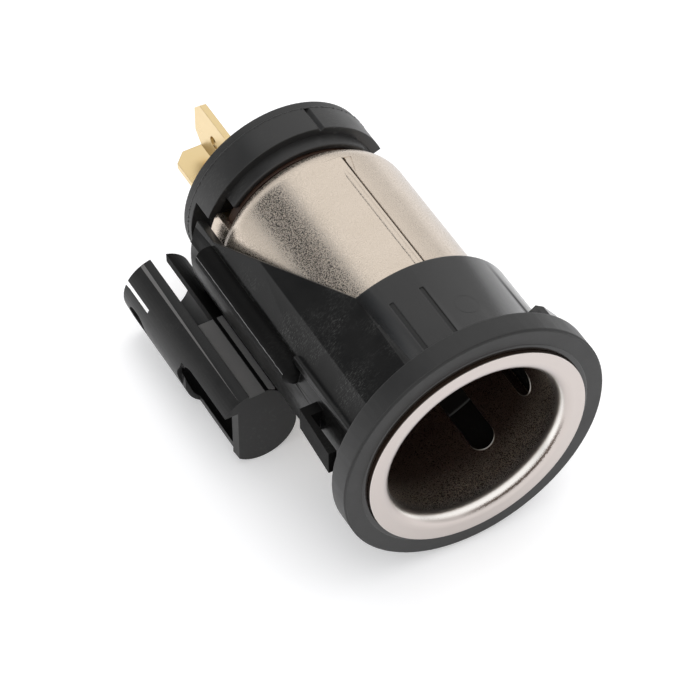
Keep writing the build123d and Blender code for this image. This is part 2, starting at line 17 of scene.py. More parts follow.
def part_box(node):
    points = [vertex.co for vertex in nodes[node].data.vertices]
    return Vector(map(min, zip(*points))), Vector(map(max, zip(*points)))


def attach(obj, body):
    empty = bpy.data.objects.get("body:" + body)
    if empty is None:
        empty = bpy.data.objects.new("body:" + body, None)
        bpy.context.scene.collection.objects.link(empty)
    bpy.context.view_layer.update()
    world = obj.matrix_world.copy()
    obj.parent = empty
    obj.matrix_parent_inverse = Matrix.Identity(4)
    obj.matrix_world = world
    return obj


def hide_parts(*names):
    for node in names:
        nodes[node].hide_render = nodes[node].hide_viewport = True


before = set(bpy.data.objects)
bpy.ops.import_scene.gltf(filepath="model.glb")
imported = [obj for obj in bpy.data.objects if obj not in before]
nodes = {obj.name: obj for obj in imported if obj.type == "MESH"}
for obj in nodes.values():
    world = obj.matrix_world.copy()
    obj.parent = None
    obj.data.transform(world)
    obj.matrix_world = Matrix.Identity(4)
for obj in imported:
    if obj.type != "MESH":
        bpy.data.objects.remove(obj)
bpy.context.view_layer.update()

MM = 0.001

# Places on the socket, taken from the CAD model's own boxes
FRONT_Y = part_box("socket_shell")[0].y
FLOOR_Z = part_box("bezel_housing")[0].z
BAND_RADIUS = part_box("terminal_shroud")[1].z

# Flange and its recess
FLANGE_FACE = -2.85 * MM
RECESS_RADIUS = 14.25 * MM
RECESS_LIP_GAP = 0.03 * MM

# Collar, its snap tongue and the mark of an ejector pin
COLLAR_RADIUS = 13.9 * MM
COLLAR_END = 12.45 * MM
TONGUE_ANGLE = 98.4
TONGUE_WIDTH = 3.75 * MM
TONGUE_FRONT = 0.95 * MM
TONGUE_REAR = 9.15 * MM
TONGUE_SLIT = 0.5 * MM
TONGUE_GROOVE = 0.1 * MM
TONGUE_WEB_DEPTH = 1.2 * MM
TONGUE_WEB_WIDTH = 3 * TONGUE_SLIT
TONGUE_WEB_LAP = 0.4 * MM
MARK_ANGLE = 77.1
MARK_PLACE = 4.9 * MM
MARK_RADIUS = 1.35 * MM
MARK_HEIGHT = 0.01 * MM

# Shell
SHELL_RADIUS = 12.1 * MM
SHELL_END = 35.5 * MM
SHOULDER_START = 32.2 * MM
BORE_RADIUS = 10.75 * MM
RING_RADIUS = 13.6 * MM
# Side of the mouth's roll where a dark reflection is painted
DARK_REFLECTION_SIDE = (0.59, 0.0, -0.81)

# Seam of the shell. Each lip has its depth below the shell's face, its angle from the seam, and its radius
SEAM_ANGLE = 75.5
SEAM_ACROSS = (-sin(radians(SEAM_ANGLE)), 0.0, cos(radians(SEAM_ANGLE)))
SEAM_FRONT = 5.0 * MM
SEAM_REAR = 31.6 * MM
SEAM_LIPS = {"right": (0.06 * MM, -1.6, 0.16 * MM), "left": (0.42 * MM, 3.4, 0.7 * MM)}
SEAM_LIP_TIP = 0.62
SEAM_LIP_TAPER = 0.1
SLIVER_ANGLES = (SEAM_ANGLE - 6.4, SEAM_ANGLE - 2.0)
SLIVER_RADII = (SHELL_RADIUS - 1.0 * MM, SHELL_RADIUS - 0.06 * MM)
SLIVER_REACH = (SEAM_REAR - 3.6 * MM, SEAM_REAR + 0.75 * MM)

# Windows of the shell
WINDOW_ANGLES = (-60.5, -15.0)
WINDOW_FRONT = 2.7 * MM
WINDOW_REAR = 14.7 * MM
WINDOW_HALF = 1.6 * MM
WINDOW_EDGE_RADIUS = 0.07 * MM
CATCH_RADII = (SHELL_RADIUS + 0.08 * MM, COLLAR_RADIUS - 0.3 * MM)
CATCH_REACH = (COLLAR_END - 2.4 * MM, WINDOW_REAR + 0.8 * MM)
CATCH_HALF_ANGLE = 9.5

# Arm, rib and sprung finger beside the shell
ARM_ANGLES = (116.0, 227.0)
RIB_RADIUS = 1.4 * MM
RIB_DISTANCE = 14.25 * MM
RIB_ANGLE = 165.5
RIB_NOSE = 11.1 * MM
RIB_FRONT = 13.1 * MM
RIB_REAR = 33.2 * MM
RIB_FLASH_ANGLE = 158.0
RIB_FLASH_RADIUS = 0.055 * MM
RIB_FLASH_WANDER = 3.0
FINGER_REAR = 9.0 * MM

# Lamp tube: an oval about two centres
LAMP_CENTRE = Vector((-14.95, -10.98)) * MM
LAMP_RADIUS = 4.4 * MM
LAMP_LEAN = 108.0
LAMP_STRETCH = 2.6 * MM
LAMP_FRONT = 19.35 * MM
LAMP_REAR = 43.35 * MM
LAMP_DISC = 1.2 * MM
LAMP_CHANNEL_Z = -5.78 * MM
LAMP_SLOT_RIGHT = -14.4 * MM
LAMP_UPPER = -9.0 * MM

# Cuts that open the lamp tube out. The two blocks are placed from the tube's centre
CUT_OVERRUN = 1.0 * MM
HOLLOW_SHIFT = Vector((-0.5, -0.25)) * MM
HOLLOW_RADIUS = 3.25 * MM
MOUTH_ACROSS = (-7.0 * MM, -2.3 * MM)
MOUTH_UPRIGHT = (-5.2 * MM, 3.1 * MM)
MOUTH_REAR = LAMP_FRONT + 10.2 * MM
UNDER_ACROSS = (-2.4 * MM, 1.6 * MM)
UNDER_UPRIGHT = (-8.0 * MM, -2.0 * MM)
UNDER_FRONT = LAMP_REAR - 7.0 * MM
SIDE_HOLE_CENTRE = Vector((LAMP_REAR - 3.1 * MM, LAMP_CENTRE.y - 0.1 * MM))
SIDE_HOLE_RADIUS = 1.55 * MM
SIDE_HOLE_STRETCH = 0.8 * MM
SIDE_HOLE_ACROSS = (LAMP_CENTRE.x - 8.0 * MM, LAMP_CENTRE.x - 1.0 * MM)
SLIT_PLACE = Vector((-19.22, -7.65)) * MM
SLIT_WIDTH = 0.45 * MM
SLIT_DRAW = 115.0
SLIT_DEPTH = 2.2 * MM
SLIT_HEIGHT = 1.0 * MM
SLIT_FRONT = LAMP_REAR - 5.3 * MM

# Ledge in the lamp tube's mouth
SHELF_ACROSS = (-16.0 * MM, -12.75 * MM)
SHELF_LEVEL = LAMP_CHANNEL_Z + 0.04 * MM
SHELF_EDGE = 0.1 * MM
SHELF_LEFT_DEPTH = 0.6 * MM
SHELF_RIGHT_DEPTH = 0.9 * MM
SHELF_REACH = (LAMP_FRONT + 0.1 * MM, LAMP_REAR - 11.5 * MM)

# Band and plate at the rear
BAND_BORE = 10.83 * MM
INSULATOR_RADIUS = 10.2 * MM
BAND_FRONT = 37.5 * MM
PLATE_FRONT = 41.35 * MM
BAND_WEB_RADII = (INSULATOR_RADIUS + 0.1 * MM, BAND_BORE + 0.2 * MM)
BAND_WEB_ANGLES = (42.0, 144.0)
BAND_WEB_REACH = (BAND_FRONT - 1.75 * MM, BAND_FRONT + 0.3 * MM)
BAND_FLASH_ANGLES = (-20.0, 200.0)
BAND_FLASH_PLACE = PLATE_FRONT - 0.12 * MM
BAND_FLASH_DISTANCE = BAND_RADIUS - 0.05 * MM
BAND_FLASH_RADIUS = 0.12 * MM
BAND_FLASH_WANDER = 0.1 * MM

# Regions of the bezel, in the order of its finishes, and how they are told apart
ON_FLANGE, ON_ARM, ON_RIB, ON_LAMP, ON_CHANNEL, ON_COLLAR = range(6)
REGION_SLACK = 0.05 * MM
REGION_STEP = 0.1 * MM
FACES_UP = 0.9
FACES_RIGHT = 0.6

# Angles past which an edge between two faces is sharp, and the distance within which points are one
SHARP_ANGLE = 40.0
BEZEL_SHARP_ANGLE = 13.0
WELD_DISTANCE = 0.0001 * MM

# Radii of the edges, as the finishes round them
MOULDED_EDGE = 0.2 * MM
CRISP_EDGE = 0.07 * MM
METAL_EDGE = 0.12 * MM
BOARD_EDGE = 0.1 * MM

# Scratches lie in two directions, turned by these angles in radians, and are drawn out in length
SCUFF_TURNS = (0.5, 1.9)
SCUFF_TILT = 0.3
SCUFF_DRAW = (1.0, 9.0, 1.0)

# Colours of the shell
NICKEL_SHADE = (0.63, 0.545, 0.455)
NICKEL_LIGHT = (0.69, 0.60, 0.51)
NICKEL_GLANCE = (0.78, 0.81, 0.85)
RING_FACE = (0.57, 0.515, 0.485)
# Painted highlight along the edges of the front ring
RING_EDGE_HIGHLIGHT = (0.86, 0.80, 0.74)
# Painted shade on the outer side of the front ring, by the flange's recess
RING_SIDE_SHADE = (0.13, 0.085, 0.06)
# Painted highlight on the mouth's roll
MOUTH_ROLL_HIGHLIGHT = (0.88, 0.85, 0.81)
# Painted dark reflection round the mouth's roll
ROLL_DARK_REFLECTION = (0.11, 0.085, 0.07)
BORE_BROWN = (0.18, 0.125, 0.10)
# Painted shade in the seam's slit
SEAM_SLIT_SHADE = (0.03, 0.026, 0.022)

# Colours of the other pieces. A cloud is a share of a moulding's tone, and a lift is added to it at edges
MOULDED_CLOUD = (1.0, 0.96, 0.93)
MOULDED_LIFT = (0.014, 0.014, 0.013)
MOULDED_SCRATCH = (0.11, 0.11, 0.106)
BAND_CLOUD = (1.7, 1.65, 1.6)
BAND_SCRATCH = (0.09, 0.09, 0.085)
BRASS_SHADE = (0.72, 0.55, 0.28)
BRASS_LIGHT = (0.80, 0.63, 0.36)
STEEL_SHADE = (0.50, 0.48, 0.45)
STEEL_LIGHT = (0.60, 0.58, 0.54)
BOARD_SHADE = (0.022, 0.010, 0.006)
BOARD_LIGHT = (0.045, 0.02, 0.01)
BOARD_FIBRE = (0.08, 0.042, 0.022)
# Pale tones of the rib's flash line, a painted highlight along the rib's edge
FLASH_HIGHLIGHT_DIM = (0.06, 0.06, 0.06)
FLASH_HIGHLIGHT_BRIGHT = (0.26, 0.26, 0.26)

# Floor, and the white tent with its dim opening at the back left
FLOOR_SIZE = 6.0
FLOOR_SHADE = (0.85, 0.85, 0.86)
FLOOR_LIGHT = (0.86, 0.86, 0.87)
WHITE = (1.0, 1.0, 1.0)
TENT_LOW = 0.74
TENT_HIGH = 1.08
TENT_RISE = 0.6
DIM_SIDE = Vector((-0.54, 0.595, 0.595)).normalized()
DIM_OUTER = 23.0
DIM_INNER = 14.0
DIM_AMOUNT = 0.97
DIM_TINT = (0.8, 0.95, 1.15)

# Soft light over the socket
OVERHEAD_PLACE = Vector((0.10, 0.10, 0.70))
OVERHEAD_TARGET = Vector((0.0, 0.02, 0.0))
OVERHEAD_SIZE = 0.50
OVERHEAD_POWER = 1.0

# View of the photograph
IMAGE_SIZE = 700
SENSOR_WIDTH = 36.0
FOCAL_PIXELS = 3566.0
VIEW_CENTRE = Vector((-7.18, 12.18, 4.62)) * MM
VIEW_AZIMUTH = -29.57
VIEW_ELEVATION = 48.75
VIEW_DISTANCE = 0.39
VIEW_NEAREST = 0.01


def add(tree, kind, inputs=None, **settings):
    """Adds a node, sets its settings, and links or sets its inputs by name or number."""
    made = tree.nodes.new(kind)
    for name, value in settings.items():
        setattr(made, name, value)
    for key, value in (inputs or {}).items():
        if isinstance(value, bpy.types.NodeSocket):
            tree.links.new(value, made.inputs[key])
        else:
            made.inputs[key].default_value = value
    return made


def maths(tree, operation, *values):
    """Result of a maths node on sockets or numbers."""
    return add(tree, "ShaderNodeMath", dict(enumerate(values)), operation=operation).outputs[0]


def raised(tree, base, mask, by):
    """A value raised by an amount where a mask is full."""
    return maths(tree, "MULTIPLY_ADD", mask, by, base)


def outside(tree, mask):
    """What a mask leaves out."""
    return maths(tree, "SUBTRACT", 1.0, mask)


def product(tree, first, *others):
    """Several masks multiplied together."""
    result = first
    for mask in others:
        result = maths(tree, "MULTIPLY", result, mask)
    return result


def dot(tree, first, second):
    """Dot product of two vectors."""
    made = add(tree, "ShaderNodeVectorMath", {0: first, 1: second}, operation="DOT_PRODUCT")
    return made.outputs["Value"]


def ramp(tree, value, low, high, start=0.0, end=1.0):
    """A value brought smoothly from start to end while it goes from low to high."""
    inputs = {"Value": value, "From Min": low, "From Max": high, "To Min": start, "To Max": end}
    return add(tree, "ShaderNodeMapRange", inputs, interpolation_type="SMOOTHSTEP").outputs["Result"]


def noise_at(tree, point, scale, detail):
    """Noise over the surface."""
    inputs = {"Vector": point, "Scale": scale, "Detail": detail}
    return add(tree, "ShaderNodeTexNoise", inputs).outputs[0]


def blend(tree, factor, first, second):
    """Mix of two colours."""
    mixed = add(tree, "ShaderNodeMix", {"Factor": factor}, data_type="RGBA")
    for socket, colour in ((mixed.inputs["A"], first), (mixed.inputs["B"], second)):
        if isinstance(colour, bpy.types.NodeSocket):
            tree.links.new(colour, socket)
        else:
            socket.default_value = (*colour, 1.0)
    return mixed.outputs["Result"]


def object_point(tree):
    """Place of a point in the socket's own frame."""
    return add(tree, "ShaderNodeTexCoord").outputs["Object"]


def new_group(name, inputs, outputs):
    """A shader node group with float inputs and named outputs, the values it is given, and its end node."""
    tree = bpy.data.node_groups.new(name, "ShaderNodeTree")
    for label, value in inputs.items():
        socket = tree.interface.new_socket(label, in_out="INPUT", socket_type="NodeSocketFloat")
        socket.default_value = value
    for label, kind in outputs.items():
        tree.interface.new_socket(label, in_out="OUTPUT", socket_type=kind)
    given = tree.nodes.new("NodeGroupInput").outputs
    end = tree.nodes.new("NodeGroupOutput")
    return tree, given, end


def finish_group(tree, end, **results):
    """Links a group's results to its named outputs."""
    for label, socket in results.items():
        tree.links.new(socket, end.inputs[label])
    return tree


def make_grain():
    """Fine and broad unevenness of a moulded, plated or rolled surface."""
    inputs = {"Fine Scale": 9000.0, "Broad Scale": 400.0}
    outputs = {"Fine": "NodeSocketFloat", "Broad": "NodeSocketFloat"}
    tree, given, end = new_group("surface_grain", inputs, outputs)
    point = object_point(tree)
    fine = noise_at(tree, point, given["Fine Scale"], 2.0)
    broad = noise_at(tree, point, given["Broad Scale"], 4.0)
    return finish_group(tree, end, Fine=fine, Broad=broad)


def make_scuffs():
    """Short fine scratches in two directions, gathered in patches."""
    inputs = {"Scale": 700.0, "Amount": 0.5}
    tree, given, end = new_group("scuffs", inputs, {"Mask": "NodeSocketFloat"})
    point = object_point(tree)
    lines = []
    for turn in SCUFF_TURNS:
        stretch = {"Vector": point, "Rotation": (turn, SCUFF_TILT, turn), "Scale": SCUFF_DRAW}
        turned = add(tree, "ShaderNodeMapping", stretch).outputs[0]
        lines.append(ramp(tree, noise_at(tree, turned, given["Scale"], 1.0), 0.61, 0.70))
    patch = ramp(tree, noise_at(tree, point, 160.0, 2.0), 0.4, 0.65)
    both = maths(tree, "MAXIMUM", *lines)
    return finish_group(tree, end, Mask=product(tree, both, patch, given["Amount"]))


def make_edges():
    """Rounded normal along sharp edges, and a mask of those edges."""
    outputs = {"Mask": "NodeSocketFloat", "Normal": "NodeSocketVector"}
    tree, given, end = new_group("soft_edges", {"Radius": MOULDED_EDGE}, outputs)
    rounded = add(tree, "ShaderNodeBevel", {"Radius": given["Radius"]}, samples=6).outputs[0]
    plain = add(tree, "ShaderNodeNewGeometry").outputs["Normal"]
    return finish_group(tree, end, Mask=ramp(tree, dot(tree, rounded, plain), 0.98, 0.85), Normal=rounded)


def make_reach():
    """Where a point lies on the socket: its distance along the axis and its distance from it."""
    outputs = {"Along": "NodeSocketFloat", "Away": "NodeSocketFloat"}
    tree, _, end = new_group("socket_reach", {}, outputs)
    x, y, z = add(tree, "ShaderNodeSeparateXYZ", {0: object_point(tree)}).outputs
    across = maths(tree, "ADD", product(tree, x, x), product(tree, z, z))
    return finish_group(tree, end, Along=y, Away=maths(tree, "SQRT", across))


GRAIN = make_grain()
SCUFFS = make_scuffs()
EDGES = make_edges()
REACH = make_reach()


def use(tree, group, **inputs):
    """Places a shared effect in a material and returns its outputs."""
    placed = add(tree, "ShaderNodeGroup", node_tree=group)
    for label, value in inputs.items():
        placed.inputs[label.replace("_", " ")].default_value = value
    return placed.outputs


def new_material(name):
    """A material, its nodes and its Principled BSDF."""
    made = bpy.data.materials.new(name)
    made.use_nodes = True
    return made, made.node_tree, made.node_tree.nodes["Principled BSDF"]


def feed(tree, shader, normal=None, **values):
    """Links sockets to the shader's inputs, or sets plain values there."""
    for label, value in values.items():
        socket = shader.inputs[label.replace("_", " ")]
        if isinstance(value, bpy.types.NodeSocket):
            tree.links.new(value, socket)
        elif isinstance(value, tuple):
            socket.default_value = (*value, 1.0)
        else:
            socket.default_value = value
    if normal is not None:
        tree.links.new(normal, shader.inputs["Normal"])


def bumped(tree, height, normal, depth, strength=1.0):
    """Normal of a surface with a fine relief."""
    inputs = {"Height": height, "Distance": depth, "Strength": strength, "Normal": normal}
    return add(tree, "ShaderNodeBump", inputs).outputs[0]


def moulded_black(name, tone, roughness, shine, scratches, cloud, edge=MOULDED_EDGE):
    """Black moulding with fine grain, pale edges and, where it was handled, fine scratches."""
    made, tree, shader = new_material(name)
    grain = use(tree, GRAIN, Fine_Scale=14000.0, Broad_Scale=500.0)
    edges = use(tree, EDGES, Radius=edge)
    worn = use(tree, SCUFFS, Scale=2200.0, Amount=scratches)["Mask"]
    clouded = tuple(cloud * tone * share for share in MOULDED_CLOUD)
    colour = blend(tree, grain["Broad"], (tone, tone, tone), clouded)
    colour = blend(tree, edges["Mask"], colour, tuple(tone + lift for lift in MOULDED_LIFT))
    colour = blend(tree, worn, colour, MOULDED_SCRATCH)
    rough = raised(tree, roughness, grain["Broad"], by=0.16)
    rough = raised(tree, rough, worn, by=0.25)
    normal = bumped(tree, grain["Fine"], edges["Normal"], depth=0.01 * MM, strength=0.4)
    feed(tree, shader, normal, Base_Color=colour, Roughness=rough, Specular_IOR_Level=shine)
    return made


def band_plastic(name, tone, roughness):
    """Satin black moulding with a slightly cloudy skin."""
    made, tree, shader = new_material(name)
    grain = use(tree, GRAIN, Fine_Scale=11000.0, Broad_Scale=320.0)
    edges = use(tree, EDGES, Radius=MOULDED_EDGE)
    worn = use(tree, SCUFFS, Scale=1500.0, Amount=0.25)["Mask"]
    colour = blend(tree, grain["Broad"], (tone, tone, tone), tuple(tone * share for share in BAND_CLOUD))
    colour = blend(tree, worn, colour, BAND_SCRATCH)
    rough = raised(tree, roughness, grain["Broad"], by=0.2)
    normal = bumped(tree, grain["Fine"], edges["Normal"], depth=0.015 * MM, strength=0.6)
    feed(tree, shader, normal, Base_Color=colour, Roughness=rough, IOR=1.5)
    return made


def bore_mask(tree, place, speckle, edge):
    """The walls of the bore and its windows, from a ragged line behind the mouth, without the cut edges."""
    ragged = raised(tree, place["Along"], speckle, by=6.0 * MM)
    deep = ramp(tree, ragged, FRONT_Y + 5.0 * MM, FRONT_Y + 10.4 * MM)
    wall = product(
        tree,
        ramp(tree, place["Away"], SHELL_RADIUS - 0.1 * MM, SHELL_RADIUS - 0.3 * MM),
        ramp(tree, place["Along"], SHOULDER_START - 1.0 * MM, SHOULDER_START - 2.0 * MM),
    )
    inside = product(
        tree,
        ramp(tree, place["Away"], BORE_RADIUS + 0.2 * MM, BORE_RADIUS + 0.1 * MM),
        ramp(tree, place["Along"], SHELL_END - 1.1 * MM, SHELL_END - 1.5 * MM),
    )
    return product(tree, deep, maths(tree, "MAXIMUM", wall, inside), outside(tree, edge))


def seam_slit_shade_mask(tree, place):
    """Painted shade on the walls of the seam's slit, which lies on the shell's upper side."""
    point = object_point(tree)
    height = add(tree, "ShaderNodeSeparateXYZ", {0: point}).outputs[2]
    return product(
        tree,
        ramp(tree, maths(tree, "ABSOLUTE", dot(tree, point, SEAM_ACROSS)), 0.34 * MM, 0.22 * MM),
        ramp(tree, place["Away"], SHELL_RADIUS + 0.02 * MM, SHELL_RADIUS - 0.04 * MM),
        ramp(tree, height, 0.0, 4.0 * MM),
        ramp(tree, place["Along"], SEAM_FRONT - 2.0 * MM, SEAM_FRONT),
        ramp(tree, place["Along"], SEAM_REAR + 0.3 * MM, SEAM_REAR - 0.3 * MM),
    )


def roll_polish_highlight_mask(tree, place):
    """The inner third of the mouth's roll, which is polished and carries a painted highlight."""
    return product(
        tree,
        ramp(tree, place["Away"], BORE_RADIUS + 0.5 * MM, BORE_RADIUS + 0.2 * MM),
        ramp(tree, place["Along"], FRONT_Y + 3.2 * MM, FRONT_Y + 1.4 * MM),
    )


def dark_reflection_mask(tree, place, speckle, front):
    """A ragged painted dark reflection round the mouth's roll, at its lower right."""
    ragged = raised(tree, place["Away"], speckle, by=0.6 * MM)
    return product(
        tree,
        ramp(tree, ragged, BORE_RADIUS + 0.64 * MM, BORE_RADIUS + 0.74 * MM),
        ramp(tree, ragged, BORE_RADIUS + 0.98 * MM, BORE_RADIUS + 0.88 * MM),
        ramp(tree, dot(tree, object_point(tree), DARK_REFLECTION_SIDE), 7.5 * MM, 10.5 * MM),
        front,
    )


def ring_side_shade_mask(tree, place):
    """The outer side of the front ring, where shade is painted."""
    return product(
        tree,
        ramp(tree, place["Away"], RING_RADIUS - 0.12 * MM, RING_RADIUS - 0.04 * MM),
        ramp(tree, place["Along"], FRONT_Y + 0.08 * MM, FRONT_Y + 0.2 * MM),
    )


def nickel_plate():
    """Satin nickel on steel: warm, finely grained, polished at the mouth and dull brown inside the bore,
    with painted highlights on the mouth's roll and the ring's edges, a painted dark reflection round the
    roll, and painted shade on the ring's side and in the seam's slit.
    """
    made, tree, shader = new_material("nickel_plate")
    grain = use(tree, GRAIN, Fine_Scale=9000.0, Broad_Scale=260.0)
    speckle = use(tree, GRAIN, Fine_Scale=13000.0, Broad_Scale=2500.0)["Fine"]
    edges = use(tree, EDGES, Radius=METAL_EDGE)
    place = use(tree, REACH)
    front = ramp(tree, place["Along"], FRONT_Y + 1.2 * MM, FRONT_Y + 0.4 * MM)
    roll = roll_polish_highlight_mask(tree, place)
    bore = bore_mask(tree, place, speckle, edges["Mask"])
    # Layers in order: ring face, painted highlight on the roll, painted dark reflection round it, painted
    # shade on the ring's side, painted highlight on the ring's edges, the bore's brown, painted shade in the
    # slit
    layers = [
        (front, RING_FACE),
        (roll, MOUTH_ROLL_HIGHLIGHT),
        (dark_reflection_mask(tree, place, speckle, front), ROLL_DARK_REFLECTION),
        (ring_side_shade_mask(tree, place), RING_SIDE_SHADE),
        (product(tree, front, edges["Mask"]), RING_EDGE_HIGHLIGHT),
        (bore, BORE_BROWN),
        (seam_slit_shade_mask(tree, place), SEAM_SLIT_SHADE),
    ]
    colour = blend(tree, grain["Broad"], NICKEL_SHADE, NICKEL_LIGHT)
    for mask, layer in layers:
        colour = blend(tree, mask, colour, layer)
    polished = maths(tree, "MAXIMUM", front, roll)
    rough = ramp(tree, grain["Fine"], 0.36, 0.66, start=0.12, end=0.52)
    rough = product(tree, rough, outside(tree, polished))
    rough = raised(tree, rough, polished, by=0.28)
    rough = raised(tree, rough, bore, by=0.1)
    relief = product(tree, grain["Fine"], ramp(tree, place["Along"], FRONT_Y, 6.0 * MM, start=0.2))
    normal = bumped(tree, relief, edges["Normal"], depth=0.014 * MM)
    feed(tree, shader, normal, Base_Color=colour, Roughness=rough, Metallic=1.0,
         Specular_Tint=NICKEL_GLANCE)
    return made


def sheet_metal(name, shade, light, roughness):
    """Stamped sheet: slight colour drift, fine grain, soft edges and duller scratches."""
    made, tree, shader = new_material(name)
    grain = use(tree, GRAIN, Fine_Scale=7000.0, Broad_Scale=500.0)
    edges = use(tree, EDGES, Radius=METAL_EDGE)
    worn = use(tree, SCUFFS, Scale=1200.0, Amount=0.4)["Mask"]
    colour = blend(tree, grain["Broad"], shade, light)
    rough = raised(tree, roughness, grain["Broad"], by=0.15)
    rough = raised(tree, rough, worn, by=0.25)
    normal = bumped(tree, grain["Fine"], edges["Normal"], depth=0.01 * MM, strength=0.3)
    feed(tree, shader, normal, Base_Color=colour, Roughness=rough, Metallic=1.0)
    return made


def phenolic_board():
    """Pressed brown board with paper fibres."""
    made, tree, shader = new_material("phenolic_board")
    grain = use(tree, GRAIN, Fine_Scale=5000.0, Broad_Scale=900.0)
    edges = use(tree, EDGES, Radius=BOARD_EDGE)
    fibres = use(tree, SCUFFS, Scale=2500.0, Amount=1.0)["Mask"]
    colour = blend(tree, grain["Broad"], BOARD_SHADE, BOARD_LIGHT)
    colour = blend(tree, fibres, colour, BOARD_FIBRE)
    rough = raised(tree, 0.42, grain["Fine"], by=0.2)
    normal = bumped(tree, grain["Fine"], edges["Normal"], depth=0.015 * MM, strength=0.5)
    feed(tree, shader, normal, Base_Color=colour, Roughness=rough)
    return made


def flash_highlight_plastic():
    """Thin flash line, pale as a painted highlight along the rib's edge."""
    made, tree, shader = new_material("flash_highlight_paint")
    grain = use(tree, GRAIN, Fine_Scale=6000.0, Broad_Scale=700.0)
    colour = blend(tree, grain["Broad"], FLASH_HIGHLIGHT_DIM, FLASH_HIGHLIGHT_BRIGHT)
    rough = raised(tree, 0.35, grain["Fine"], by=0.2)
    feed(tree, shader, Base_Color=colour, Roughness=rough)
    return made


def polar(radius, angle, y):
    """Point at a distance and angle about the socket's axis."""
    return Vector((radius * cos(radians(angle)), y, radius * sin(radians(angle))))


def towards(angle):
    """Direction at an angle in X and Z."""
    return Vector((cos(radians(angle)), sin(radians(angle))))


def mesh_from(shape, name):
    """Mesh of a finished shape, with its faces turned outwards."""
    bmesh.ops.recalc_face_normals(shape, faces=shape.faces)
    mesh = bpy.data.meshes.new(name)
    shape.to_mesh(mesh)
    shape.free()
    return mesh


def smooth(mesh, sharp_angle):
    """Smooth shading, with sharp edges past an angle."""
    mesh.shade_smooth()
    mesh.set_sharp_from_angle(angle=radians(sharp_angle))


def new_piece(name, data, finishes):
    """A piece of the socket that rides on its body."""
    for finish in finishes:
        data.materials.append(finish)
    made = bpy.data.objects.new(name, data)
    bpy.context.scene.collection.objects.link(made)
    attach(made, "root")
    return made


def prism(name, outline, front, rear):
    """Mesh of an outline in X and Z, run back along Y."""
    shape = bmesh.new()
    near = [shape.verts.new((x, front, z)) for x, z in outline]
    far = [shape.verts.new((x, rear, z)) for x, z in outline]
    shape.faces.new(near)
    shape.faces.new(list(reversed(far)))
    for i in range(len(outline)):
        j = (i + 1) % len(outline)
        shape.faces.new((near[j], near[i], far[i], far[j]))
    return mesh_from(shape, name)


def oval(centre, radius, stretch, lean, steps):
    """Outline of two half circles joined by straight sides, its length leaning at an angle."""
    points = []
    for side in (1, -1):
        middle = centre + 0.5 * side * stretch * towards(lean)
        for i in range(steps + 1):
            angle = radians(lean) - side * pi / 2 + pi * i / steps
            points.append(tuple(middle + radius * Vector((cos(angle), sin(angle)))))
    return points


def rounded_arc(name, radii, angles, reach, finish, soft, steps):
    """A block bent round the socket's axis, from front to rear, with softened edges."""
    (inner, outer), (first, last), (front, rear) = radii, angles, reach
    corners = ((inner, front), (outer, front), (outer, rear), (inner, rear))
    shape = bmesh.new()
    rows = []
    for i in range(steps + 1):
        angle = first + (last - first) * i / steps
        rows.append([shape.verts.new(polar(radius, angle, y)) for radius, y in corners])
    for row, after in zip(rows, rows[1:]):
        for k in range(4):
            n = (k + 1) % 4
            shape.faces.new((row[k], row[n], after[n], after[k]))
    shape.faces.new(rows[0])
    shape.faces.new(list(reversed(rows[-1])))
    made = new_piece(name, mesh_from(shape, name), [finish])
    edge = made.modifiers.new("soft_edges", "BEVEL")
    edge.width = soft
    edge.segments = 2
    edge.limit_method = "ANGLE"
    edge.angle_limit = radians(SHARP_ANGLE)
    smooth(made.data, SHARP_ANGLE)


def revolved(name, profile, finish, steps):
    """A closed ring: a profile of radius and Y turned about the socket's axis."""
    shape = bmesh.new()
    rows = []
    for i in range(steps):
        rows.append([shape.verts.new(polar(radius, 360 * i / steps, y)) for radius, y in profile])
    for i in range(steps):
        row, after = rows[i], rows[(i + 1) % steps]
        for k in range(len(profile)):
            n = (k + 1) % len(profile)
            shape.faces.new((row[k], row[n], after[n], after[k]))
    made = new_piece(name, mesh_from(shape, name), [finish])
    smooth(made.data, SHARP_ANGLE)


def bead(name, points, radius, finish, widths=None):
    """A thin round bead along a line of points."""
    curve = bpy.data.curves.new(name, "CURVE")
    curve.dimensions = "3D"
    curve.bevel_depth = radius
    curve.bevel_resolution = 3
    curve.use_fill_caps = True
    line = curve.splines.new("POLY")
    line.points.add(len(points) - 1)
    for i, point in enumerate(points):
        line.points[i].co = (*point, 1.0)
        line.points[i].radius = widths[i] if widths else 1.0
    new_piece(name, curve, [finish])


def lamp_hollow():
    """Cutter of the lamp tube's inside, off its centre, so that the wall is thinnest at the lower left."""
    outline = oval(LAMP_CENTRE + HOLLOW_SHIFT, HOLLOW_RADIUS, LAMP_STRETCH, LAMP_LEAN, steps=24)
    return prism("lamp_hollow", outline, LAMP_FRONT + LAMP_DISC, LAMP_REAR + CUT_OVERRUN)


def lamp_block(name, across, upright, front, rear):
    """Cutter of a plain opening in the lamp tube, a block placed from the tube's centre."""
    left, right = (LAMP_CENTRE.x + side for side in across)
    low, high = (LAMP_CENTRE.y + side for side in upright)
    return prism(name, [(left, low), (right, low), (right, high), (left, high)], front, rear)


def lamp_side_hole():
    """Cutter of the long hole in the lamp tube's side, a rounded slot run in along X."""
    outline = oval(SIDE_HOLE_CENTRE, SIDE_HOLE_RADIUS, SIDE_HOLE_STRETCH, lean=0.0, steps=12)
    mesh = prism("lamp_side_hole", outline, *SIDE_HOLE_ACROSS)
    for corner in mesh.vertices:
        corner.co = (corner.co.y, corner.co.x, corner.co.z)
    mesh.flip_normals()
    return mesh


